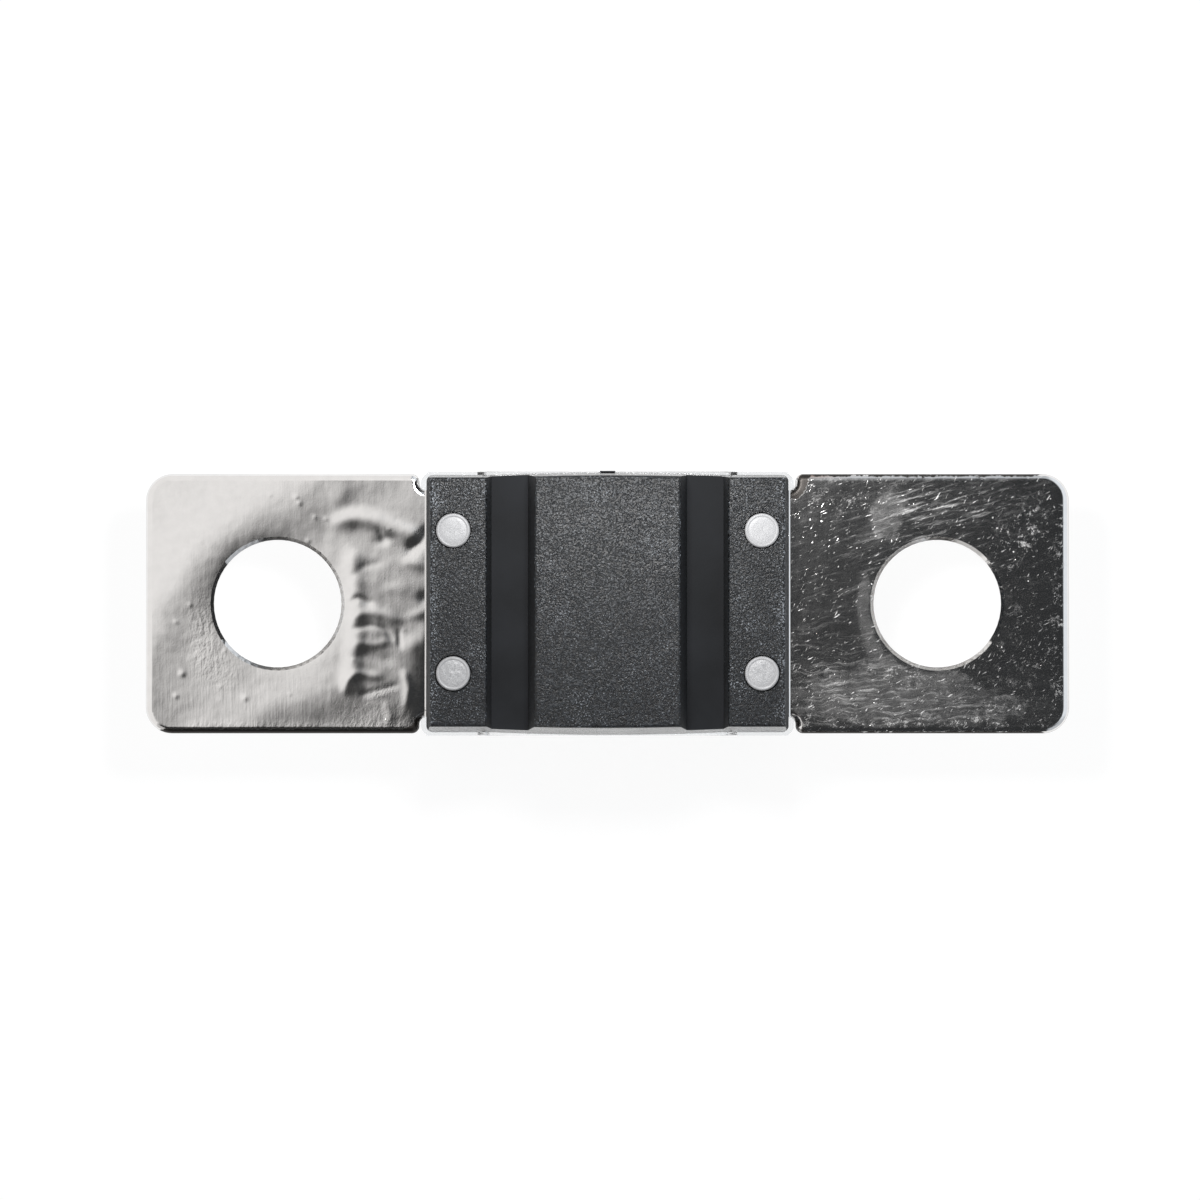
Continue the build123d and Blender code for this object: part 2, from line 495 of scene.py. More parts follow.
@dataclass(frozen=True)
class TinPlate:
    """Bright tin plating on the copper strip: a mirror with haze, specks and fine scratches."""

    colour: Colour = (0.83, 0.82, 0.81)
    copper: Colour = (0.36, 0.20, 0.13)
    # painted shade: near-black colour for the shaded rolled edges, the neck's corners and the sheared
    # walls
    shade_colour: Colour = (0.05, 0.046, 0.043)
    darkest: float = 0.93
    lightest: float = 1.05
    mirror: float = 0.07
    hazy: float = 0.125
    marked: float = 0.55
    grainy: float = 0.03
    # roughness added where the edges are painted in shade
    shaded_edges: float = 0.3

    def material(self) -> bpy.types.Material:
        """The plating's material, which reads the painted wear of the strip."""
        material, nodes = new_material("tin_plate")
        wear = PlateWear(nodes)
        specks = wear.specks()
        marks = (wear.streaks() + wear.crumbs() + wear.scratches() + specks * wear.worn) * wear.right
        # mask of the shade painted on the rolled edges and in the neck's corners
        painted_edge_shade = wear.painted_edge_shade()
        rough = (self.mirror + wear.patches() * self.hazy + marks * self.marked
                 + wear.fine * self.grainy)
        waves = nodes.grain(nodes.stretch(wear.place, (2.6, 1.4, 1.0)), 1.0, 2.0)
        skin = (wear.fine * 0.10 + wear.brushing(waves, specks) * (1 - wear.right)
                + (marks * 0.8 + waves * 0.4) * wear.right)
        shader = nodes.add("ShaderNodeBsdfPrincipled", None, {
            "Base Color": self._colour_of(nodes, wear, painted_edge_shade), "Metallic": 1.0,
            "Roughness": nodes.clamp(rough + painted_edge_shade * self.shaded_edges),
            "Normal": nodes.bump(skin, 0.6, 0.006)})
        nodes.surface(shader)
        return material

    def _colour_of(self, nodes: Nodes, wear: PlateWear, painted_edge_shade: Wire) -> Wire:
        """The plating's colour, with bare copper, and with painted shade on the rolled edges, the
        neck's corners and the sheared walls.

        Args:
            nodes: The material's nodes.
            wear: The strip's wear.
            painted_edge_shade: The mask of the shade painted on the rolled edges and in the neck's
                corners.

        Returns:
            The colour.
        """
        tone = nodes.blend(nodes.grain(wear.place, 2.2, 3.0),
                           tuple(c * self.darkest for c in self.colour),
                           tuple(min(1.0, c * self.lightest) for c in self.colour))
        plated = nodes.blend(wear.bare, tone, self.copper)
        # painted shade: the sheared walls and the shaded edges take the near-black shade colour
        wall_shade = wear.wall_shade()
        return nodes.blend(wall_shade + painted_edge_shade - wall_shade * painted_edge_shade, plated, self.shade_colour)


@dataclass(frozen=True)
class MouldedBlack:
    """Black glass-filled nylon from a spark-eroded mould."""

    # painted shade and light: the grain's pits darker and its peaks lighter; the pit colour is also
    # the dark tone of the polished floors
    dark_and_pit_shade: Colour = (0.0004, 0.0006, 0.001)
    lit_peaks: Colour = (0.0075, 0.0098, 0.0128)
    # painted highlight: pale flecks where the grains would glint
    fleck_highlight: Colour = (0.19, 0.205, 0.225)
    smooth: Colour = (0.022, 0.0236, 0.027)
    collar: Span = (0.87, 0.82)
    floor_level: Span = (7.9, 7.2)
    outer: Span = (7.3, 8.1)
    erosion: float = 0.027

    def material(self) -> bpy.types.Material:
        """The nylon's material: eroded outside, polished where the mould's two ribs were."""
        material, nodes = new_material("black_nylon")
        place = nodes.millimetres()
        facing = nodes.add("ShaderNodeTexCoord", out="Normal")
        endways = nodes.part(facing, Axis.X)
        walls = nodes.ease(nodes.part(facing, Axis.Z), 0.5, 0.2)
        ends = walls * nodes.ease(endways * endways, 0.4, 0.7)
        floors = nodes.ease(nodes.part(place, Axis.Z), *self.floor_level) * (1 - walls)
        fine = nodes.grain(place, 14.0, 2.0, 0.6)
        smudge = nodes.grain(nodes.stretch(place, (1, 1, 1), (4.0, 9.0, 0.0)), 0.3, 3.0, 0.55)
        eroded = self._eroded(nodes, place, walls, ends, fine, smudge)
        polished = nodes.add("ShaderNodeBsdfPrincipled", None, {
            "Base Color": nodes.blend(smudge, self.dark_and_pit_shade, self.smooth), "Roughness": 0.5 + smudge * 0.2,
            "Specular IOR Level": 0.12, "Normal": nodes.bump(fine, 0.4, 0.01)})
        nodes.surface(nodes.add("ShaderNodeMixShader", None, {0: floors, 1: eroded, 2: polished}))
        return material

    def _eroded(self, nodes: Nodes, place: Wire, walls: Wire, ends: Wire, fine: Wire,
                smudge: Wire) -> Wire:
        """The skin that the eroded mould leaves: winding ridges and pits, with painted shade in the
        pits and painted highlights as pale flecks.

        Args:
            nodes: The material's nodes.
            place: Coordinates in millimetres.
            walls: Mask of the upright faces.
            ends: Mask of the end faces.
            fine: Fine noise.
            smudge: Broad noise.

        Returns:
            The shader.
        """
        worms = nodes.grain(nodes.torn(place, 4.0, 0.12), 8.0, 2.0, 0.6)
        ridges = nodes.ease(nodes.size_of(worms - 0.5), 0.05, 0.0)
        cluster = nodes.grain(place, 0.7, 3.0, 0.6)
        # more painted highlight flecks towards the outer ends
        rim = nodes.ease(nodes.size_of(nodes.part(place, Axis.X)), *self.outer) * 0.10
        glint_flecks = nodes.ease(fine + (cluster - 0.5) * 0.3 + rim, 0.63, 0.71) * (1 - walls * 0.75)
        collar = nodes.ease(nodes.away(place, PLACES.peg_x, PLACES.peg_y), *self.collar)
        # painted shade: darker in the grain's pits, lighter on its peaks
        grainy = nodes.blend(nodes.ease(worms, 0.42, 0.6), self.dark_and_pit_shade, self.lit_peaks)
        height = (ridges * 0.5 + worms * 0.9 + fine * 0.5) * (1 - walls * 0.8)
        rough = 0.27 + smudge * 0.2 + ridges * 0.08 - walls * 0.18 + ends * 0.55 - collar * 0.2
        return nodes.add("ShaderNodeBsdfPrincipled", None, {
            "Base Color": nodes.blend(glint_flecks * (1 - collar), grainy, self.fleck_highlight),
            "Roughness": rough, "Specular IOR Level": 0.42,
            "Normal": nodes.bump(height, 1.0, self.erosion)})


@dataclass(frozen=True)
class ClearPlastic:
    """Clear polycarbonate."""

    colour: Colour = (0.95, 0.96, 0.97)
    index: float = 1.585

    def material(self) -> bpy.types.Material:
        """The clear plastic's material."""
        material, nodes = new_material("clear_polycarbonate")
        place = nodes.millimetres()
        flow = nodes.grain(nodes.stretch(place, (0.3, 1.0, 1.0)), 0.6, 2.0)
        dust = nodes.ease(nodes.cells(place, 1.6), 0.07, 0.03)
        shader = nodes.add("ShaderNodeBsdfPrincipled", None, {
            "Base Color": (*self.colour, 1.0), "Roughness": 0.03 + flow * 0.03 + dust * 0.4,
            "IOR": self.index, "Transmission Weight": 1.0,
            "Normal": nodes.bump(flow, 0.2, 0.02)})
        nodes.surface(shader)
        return material


@dataclass(frozen=True)
class MeltedPlastic:
    """The same plastic where it was melted over: milky and crazed."""

    white: Colour = (0.42, 0.42, 0.426)
    grey: Colour = (0.27, 0.27, 0.275)
    index: float = 1.585
    # painted shade: a darker crescent where the upper heads' groove lies in shade
    shade_shift: float = 0.05
    shade_inner: Span = (0.66, 0.70)
    shade_outer: Span = (0.70, 0.73)
    milky_depth: float = 0.4

    def material(self) -> bpy.types.Material:
        """The milky plastic's material."""
        material, nodes = new_material("melted_polycarbonate")
        place = nodes.millimetres()
        ring = nodes.away(place, PLACES.peg_x, PLACES.peg_y)
        shifted = nodes.away(place, PLACES.peg_x, PLACES.peg_y + self.shade_shift)
        upper = nodes.ease(nodes.part(place, Axis.Y), -1.0, 1.0)
        # painted shade: the upper heads darker on a crescent off the centre, where their groove lies
        # in shade
        crescent_shade = nodes.ease(shifted, *self.shade_inner) * (
            1 - nodes.ease(ring, *self.shade_outer)) * upper
        crumbs = nodes.grain(place, 4.5, 3.0, 0.6)
        curls = nodes.ease((crumbs - 0.5) * (crumbs - 0.5), 0.004, 0.0) * nodes.ease(ring, 0.62, 0.4)
        cloud = nodes.grain(place, 2.0, 2.0)
        # painted light: the heads in the east lighter, as they are lit more strongly
        east = nodes.ease(nodes.part(place, Axis.X), -1.0, 1.0) * 0.42
        tone = (curls * 0.5 + cloud * 0.3) * (1 - upper) + (0.33 + cloud * 0.3) * upper + east
        colour = nodes.blend(tone - crescent_shade * 0.5, self.grey, self.white)
        height = (curls * 1.2 + crumbs * 0.5) * (1 - upper * 0.75)
        shader = nodes.add("ShaderNodeBsdfPrincipled", None, {
            "Base Color": colour, "Roughness": 0.3 + crumbs * 0.25, "IOR": self.index,
            "Subsurface Weight": 0.25, "Subsurface Scale": self.milky_depth * MM,
            "Subsurface Radius": (1.0, 1.0, 1.0),
            "Normal": nodes.bump(height, 0.5, 0.03)})
        nodes.surface(shader)
        return material


@dataclass(frozen=True)
class SoftTin:
    """Dull cast tin of the pill."""

    colour: Colour = (0.68, 0.68, 0.66)

    def material(self) -> bpy.types.Material:
        """The cast tin's material."""
        material, nodes = new_material("soft_tin")
        place = nodes.millimetres()
        grains = nodes.grain(place, 7.0, 3.0)
        tone = nodes.blend(grains, tuple(c * 0.8 for c in self.colour), self.colour)
        shader = nodes.add("ShaderNodeBsdfPrincipled", None, {
            "Base Color": tone, "Metallic": 1.0, "Roughness": 0.3 + grains * 0.25,
            "Normal": nodes.bump(grains, 0.5, 0.02)})
        nodes.surface(shader)
        return material


# Relief of the strip

@dataclass(frozen=True)
class Swell:
    """A soft oval rise in the metal, or a hollow where its height is negative."""

    x: float
    y: float
    long: float
    wide: float
    turn: float
    height: float

    def lift(self, x: float, y: float) -> float:
        """Height that it adds at a point."""
        angle = math.radians(self.turn)
        dx, dy = x - self.x, y - self.y
        along = (dx * math.cos(angle) + dy * math.sin(angle)) / self.long
        across = (dy * math.cos(angle) - dx * math.sin(angle)) / self.wide
        return self.height * math.exp(-along * along - across * across)


@dataclass(frozen=True)
class Ridge:
    """A rounded ridge along a bent line."""

    points: tuple[Point, ...]
    height: float
    width: float

    def lift(self, x: float, y: float) -> float:
        """Height that it adds at a point."""
        total = 0.0
        for (ax, ay), (bx, by) in zip(self.points, self.points[1:]):
            length = math.hypot(bx - ax, by - ay)
            ux, uy = (bx - ax) / length, (by - ay) / length
            along = (x - ax) * ux + (y - ay) * uy
            across = (y - ay) * ux - (x - ax) * uy
            if abs(across) < 3 * self.width:
                reach = math.erf((length - along) / self.width) + math.erf(along / self.width)
                total += 0.5 * reach * math.exp(-(across / self.width) ** 2)
        return self.height * total


@dataclass(frozen=True)
class Dish:
    """The metal's slight fall towards a punched hole."""

    x: float
    y: float
    radius: float
    depth: float
    width: float

    def lift(self, x: float, y: float) -> float:
        """Height that it adds at a point."""
        gap = max(0.0, math.hypot(x - self.x, y - self.y) - self.radius)
        return -self.depth * math.exp(-gap / self.width)


Relief = Swell | Ridge | Dish


# Pieces

def finish_mesh(mesh: bmesh.types.BMesh, name: str, materials: list[bpy.types.Material],
                sharp: float = 35.0) -> bpy.types.Object:
    """Turn a bmesh into a shaded object in the scene.

    Args:
        mesh: The mesh, which is freed.
        name: The piece's name.
        materials: Its material slots.
        sharp: Edges that turn by more than this many degrees stay sharp.

    Returns:
        The object.
    """
    for face in mesh.faces:
        face.smooth = True
    for edge in mesh.edges:
        edge.smooth = edge.calc_face_angle(0.0) < math.radians(sharp) and edge.smooth
    data = bpy.data.meshes.new(name)
    mesh.to_mesh(data)
    mesh.free()
    for material in materials:
        data.materials.append(material)
    piece = bpy.data.objects.new(name, data)
    bpy.context.scene.collection.objects.link(piece)
    return piece


def copy_of(node: str) -> bmesh.types.BMesh:
    """Merge a CAD node's loose triangles into a clean mesh of flat faces.

    Args:
        node: The CAD node's name.

    Returns:
        The mesh, in metres.
    """
    mesh = bmesh.new()
    mesh.from_mesh(frame["nodes"][node].data)
    bmesh.ops.remove_doubles(mesh, verts=mesh.verts, dist=WELD * MM)
    bmesh.ops.dissolve_limit(mesh, angle_limit=FLAT, use_dissolve_boundaries=False,
                             verts=mesh.verts, edges=mesh.edges, delimit=set())
    return mesh


def slice_faces(mesh: bmesh.types.BMesh, faces: list[bmesh.types.BMFace], axis: Vector,
                places: list[float]) -> list[bmesh.types.BMFace]:
    """Cut faces along parallel planes.

    Args:
        mesh: The mesh.
        faces: The faces to cut.
        axis: Normal of the planes.
        places: Place of each plane along the axis, metres.

    Returns:
        The faces after the cuts.
    """
    parts = set(faces)
    for face in faces:
        parts.update(face.edges)
        parts.update(face.verts)
    geometry = list(parts)
    for place in places:
        cut = bmesh.ops.bisect_plane(mesh, geom=geometry, dist=TOUCH, plane_co=axis * place,
                                     plane_no=axis)
        geometry = cut["geom"]
    return [part for part in geometry if isinstance(part, bmesh.types.BMFace)]


@dataclass
class TinnedStrip:
    """The stamped strip with its two blades, its neck and the slotted link."""

    relief: list[Relief]
    wear: list[list[Relief]]
    # places of the shade painted on the rolled edges and in the neck's corners
    soil: list[Relief]
    neck_half: float = 8.31
    step_middle: float = 8.28
    step_reach: float = 0.04
    shoulder_x: float = 9.3
    roll: float = 0.28
    hole_margin: float = 0.3
    left_step: float = 0.08
    right_step: float = 0.14
    weld: float = 0.006
    slack: float = 0.01
    peel: float = 0.0022

    def build(self, finish: TinPlate) -> bpy.types.Object:
        """Make the strip in place of its CAD node.

        Args:
            finish: The plating.

        Returns:
            The strip.
        """
        mesh = copy_of("fuse_strip")
        self._grid(mesh, Side.LEFT, self.left_step)
        self._grid(mesh, Side.RIGHT, self.right_step)
        bmesh.ops.remove_doubles(mesh, verts=mesh.verts, dist=self.weld * MM)
        for edge in mesh.edges:
            edge.smooth = not all(abs(abs(v.co.x) / MM - self.step_middle) < self.step_reach
                                  for v in edge.verts)
        self._emboss(mesh)
        self._paint(mesh)
        piece = finish_mesh(mesh, "tinned_strip", [finish.material()])
        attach(piece, "root")
        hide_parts("fuse_strip")
        return piece

    def _grid(self, mesh: bmesh.types.BMesh, side: Side, step: float) -> None:
        """Divide a blade's upper face, rolled edges and sides finely.

        Args:
            mesh: The strip's mesh.
            side: The blade.
            step: Size of the new faces.
        """
        flat_length = PLACES.strip_length / 2 - self.roll - self.neck_half
        flat_width = PLACES.strip_width - 2 * self.roll
        columns, rows = int(flat_length / step), int(flat_width / step)
        across = [side.value * (self.neck_half + flat_length * (i + 0.5) / columns) * MM
                  for i in range(columns)]
        along = [flat_width * ((i + 0.5) / rows - 0.5) * MM for i in range(rows)]
        skin = slice_faces(mesh, self._skin(mesh, side), Vector((1, 0, 0)), across)
        slice_faces(mesh, skin, Vector((0, 1, 0)), along)

    def _skin(self, mesh: bmesh.types.BMesh, side: Side) -> list[bmesh.types.BMFace]:
        """The faces of a blade that get a grid, which leaves out its underside and hole.

        Args:
            mesh: The strip's mesh.
            side: The blade.

        Returns:
            The faces.
        """
        hole = Vector((side.value * PLACES.hole_x, 0)) * MM
        rim = (PLACES.hole_radius + self.hole_margin) * MM
        skin = []
        for face in mesh.faces:
            x = face.calc_center_median().x * side.value
            lies_up = face.normal.z > 0.999
            seen = face.normal.z > -0.5 and (lies_up or x > self.shoulder_x * MM)
            reach = max((v.co.xy - hole).length for v in face.verts)
            if seen and x > (self.neck_half - self.slack) * MM and reach > rim:
                skin.append(face)
        return skin

    def relief_at(self, x: float, y: float) -> float:
        """Height of the relief at a place on the blades."""
        uneven = noise.noise(Vector((x * 0.9, y * 0.9, 0.0))) + 0.35 * noise.noise(
            Vector((x * 2.6, y * 2.6, 4.0)))
        return sum(part.lift(x, y) for part in self.relief) + uneven * self.peel

    def _emboss(self, mesh: bmesh.types.BMesh) -> None:
        """Give the blades their relief, which reaches down through their thickness."""
        for vertex in mesh.verts:
            x, y, z = vertex.co / MM
            share = (z - PLACES.blade_lower) / (PLACES.blade_upper - PLACES.blade_lower)
            share = min(1.0, max(0.0, share))
            if share > 0.01 and abs(x) > self.neck_half - self.slack:
                vertex.co.z += self.relief_at(x, y) * share * MM

    def _paint(self, mesh: bmesh.types.BMesh) -> None:
        """Paint haze, streaks, crumbs and bare copper into one attribute, and the painted shade of the
        edges into another.
        """
        layer = mesh.verts.layers.float_color.new("wear")
        # the layer of painted shade on the rolled edges and in the neck's corners
        shaded_edges = mesh.verts.layers.float.new("soil")
        for vertex in mesh.verts:
            x, y, _ = vertex.co / MM
            amounts = [sum(part.lift(x, y) for part in parts) for parts in self.wear]
            vertex[layer] = [min(1.0, max(0.0, amount)) for amount in amounts]
            vertex[shaded_edges] = min(1.0, max(0.0, sum(part.lift(x, y) for part in self.soil)))


# Marks of the strip, with places and sizes in millimetres

def strip_wear() -> list[list[Relief]]:
    """Haze, streaks, crumbs and bare copper of the plating."""
    haze = [
        Swell(12.66, 3.93, 1.5, 0.85, 80, 0.62),
        Swell(10.8, 5.61, 3.0, 0.5, 0, 0.2),
        Ridge(((11.84, 1.3), (11.57, -0.02), (11.7, -1.2), (12.25, -2.34), (13.25, -3.3),
               (14.66, -3.66), (16.11, -3.39)), 0.62, 0.4),
        Swell(14.93, -4.02, 1.0, 0.7, 0, 0.5),
        Swell(12.57, -4.3, 0.8, 0.6, 0, 0.4),
        Swell(10.57, -4.16, 3.2, 1.8, 10, 0.55),
        Swell(16.02, -4.75, 4.8, 1.3, 0, 0.7),
        Swell(15.8, 4.7, 3.0, 1.3, 12, 0.35),
        Swell(14.66, -0.02, 8.0, 6.0, 0, 0.14),
    ]
    streaks = [
        Swell(15.8, 4.48, 3.4, 1.5, 12, 0.9),
        Swell(14.66, -0.02, 7.0, 5.5, 0, 0.35),
        Swell(16.02, -4.93, 4.8, 1.2, 0, 0.9),
        Swell(9.89, -3.7, 3.0, 2.4, 0, 0.8),
        Swell(-16.93, -4.39, 4.0, 2.0, 0, 1.0),
        Swell(-18.52, 1.98, 2.5, 1.5, 60, 0.4),
        Swell(-14.43, 5.16, 3.5, 1.2, 0, 0.45),
        Swell(-9.89, 0.16, 1.6, 4.0, 0, 0.25),
    ]
    crumbs = [
        Swell(18.93, 3.25, 1.9, 1.1, 60, 0.8),
        Swell(18.3, -1.66, 2.4, 2.4, 0, 0.2),
        Swell(17.16, -4.39, 2.4, 1.2, 0, 0.25),
        Ridge(((20.66, 4.7), (20.75, 0.16), (20.57, -4.39)), 0.7, 0.3),
        Ridge(((8.75, -5.39), (20.11, -5.57)), 0.6, 0.3),
        Swell(13.52, -3.25, 0.8, 0.5, -30, 0.8),
        Swell(10.57, 4.7, 2.0, 1.0, 0, 0.3),
        Swell(19.66, -1.66, 1.2, 2.4, 0, 0.3),
        Swell(-18.3, -1.11, 0.7, 1.5, 0, 0.8),
        Swell(-17.8, -2.93, 1.2, 0.8, -40, 0.6),
        Ridge(((-18.98, -5.61), (-8.52, -5.66)), 0.7, 0.25),
        Swell(-10.34, -5.07, 2.0, 0.8, 0, 0.5),
        Ridge(((-10.7, -4.16), (-9.66, -3.84)), 0.7, 0.25),
        Swell(-8.8, 2.34, 0.6, 0.5, 0, 0.5),
    ]
    copper = [Swell(9.43, 5.89, 0.9, 0.16, 0, 0.9)]
    return [haze, streaks, crumbs, copper]


def strip_edge_shade() -> list[Relief]:
    """Painted shade along the rolled edges and in the neck's corners."""
    return [
        Ridge(((-20.43, -5.84), (-8.3, -5.84)), 0.9, 0.20),
        Ridge(((8.75, 5.93), (19.89, 5.93)), 0.75, 0.22),
        Ridge(((8.75, -5.93), (19.89, -5.93)), 0.8, 0.2),
        Ridge(((8.93, 5.75), (8.89, 5.34), (8.66, 5.02), (8.2, 4.8)), 1.0, 0.24),
        Swell(8.61, -5.48, 0.3, 0.4, 0, 0.7),
        Swell(-8.52, -5.57, 0.5, 0.5, 0, 1.0),
        Swell(-8.57, 5.61, 0.4, 0.4, 0, 0.3),
    ]


PIMPLE_SPREAD = 0.8
PIMPLE_RISE = 0.035
PIMPLES = (  # place and size of each
    (-14.16, 4.84, 0.12), (-14.02, 4.57, 0.11), (-15.34, 4.93, 0.08), (-13.3, 3.93, 0.09),
    (-12.8, 3.84, 0.09), (-13.61, 2.84, 0.1), (-18.48, 2.8, 0.08), (-18.98, -0.07, 0.1),
    (-19.61, -0.84, 0.1), (-19.34, -3.2, 0.16), (-19.61, -4.2, 0.13), (-16.48, -4.3, 0.15),
    (-17.39, -2.16, 0.09), (-17.61, -3.8, 0.09), (-14.43, -4.11, 0.08), (-11.57, -2.57, 0.08),
    (-9.93, 3.39, 0.08), (-9.25, -1.2, 0.07),
)


def strip_relief() -> list[Relief]:
    """The dents and ripples of the blades."""
    return [
        Dish(-PLACES.hole_x, 0.0, PLACES.hole_radius, 0.012, 0.45),
        Dish(PLACES.hole_x, 0.0, PLACES.hole_radius, 0.004, 0.3),
        Ridge(((-22.16, -7.11), (-21.25, -2.11), (-20.11, 0.16), (-18.98, 1.89), (-17.52, 3.34),
               (-15.57, 4.48), (-13.3, 5.39), (-11.7, 6.75)), 0.026, 1.55),
        Ridge(((-16.93, -5.2), (-14.43, -4.61), (-11.7, -3.93)), 0.013, 1.0),
        Swell(-16.7, -1.66, 1.4, 1.0, 60, 0.005),
        Ridge(((-11.61, 2.34), (-11.48, 1.07), (-11.43, -1.66), (-11.7, -3.93)), 0.015, 0.42),
        Ridge(((-10.8, 1.3), (-10.61, -0.3), (-10.75, -2.11)), 0.006, 0.7),
        Ridge(((-12.52, 4.34), (-12.11, 4.8), (-11.89, 5.34)), 0.005, 0.4),
        Ridge(((-12.34, 3.75), (-11.43, 3.93), (-10.43, 3.7), (-9.34, 3.3),
               (-8.34, 2.84)), 0.0185, 0.4),
        Ridge(((-10.61, 2.75), (-9.8, 3.02), (-9.25, 2.52)), -0.005, 0.22),
        Ridge(((-10.43, 3.43), (-10.11, 2.66)), -0.00375, 0.16),
        Ridge(((-9.07, 2.39), (-8.61, 2.7), (-8.07, 3.43)), -0.0175, 0.28),
        Swell(-8.8, 1.8, 0.6, 0.25, -15, 0.0075),
        Ridge(((-11.7, 1.2), (-11.2, 1.61), (-10.34, 1.89)), -0.0032, 0.18),
        Ridge(((-10.16, 0.61), (-9.07, 0.8)), 0.00375, 0.3),
        Ridge(((-11.7, -0.02), (-11.39, 0.3), (-10.7, -0.02)), -0.00625, 0.16),
        Swell(-8.3, 0.25, 0.3, 0.3, 0, -0.01125),
        Ridge(((-11.7, -0.7), (-10.98, -0.39), (-10.07, -0.52), (-9.52, -0.84)), 0.0085, 0.26),
        Swell(-8.61, -0.48, 0.5, 0.22, 20, 0.006),
        Ridge(((-11.61, -1.16), (-10.8, -0.98), (-10.07, -1.16), (-9.8, -1.66)), -0.004375, 0.15),
        Ridge(((-11.52, -1.8), (-10.57, -1.89), (-9.98, -1.7)), 0.004375, 0.2),
        Ridge(((-9.48, -1.2), (-9.43, -2.02)), -0.005, 0.12),
        Swell(-8.84, -1.89, 0.35, 0.4, 0, 0.00875),
        Ridge(((-8.25, -1.11), (-8.3, -2.39)), 0.011, 0.36),
        Ridge(((-11.61, -2.43), (-10.98, -2.3), (-9.8, -2.66)), -0.0048, 0.28),
        Ridge(((-11.93, -4.02), (-11.89, -3.48), (-11.43, -3.16), (-10.34, -3.34)), 0.00625, 0.2),
        Ridge(((-11.16, -4.16), (-10.43, -3.98), (-9.52, -3.7)), -0.005, 0.16),
        Ridge(((-9.25, -3.11), (-9.02, -3.84), (-9.16, -4.66)), 0.0075, 0.2),
        Ridge(((-10.07, -4.48), (-9.84, -5.11), (-10.07, -5.75)), 0.00375, 0.2),
        Ridge(((-7.07, -0.84), (-7.2, -2.57), (-7.52, -4.39), (-7.89, -7.11)), -0.055, 0.88),
        Ridge(((21.16, 7.43), (21.16, -7.11)), -0.03, 0.3),
    ] + [Swell(x, y, size * PIMPLE_SPREAD, size * PIMPLE_SPREAD, 0, size * PIMPLE_RISE)
         for x, y, size in PIMPLES]


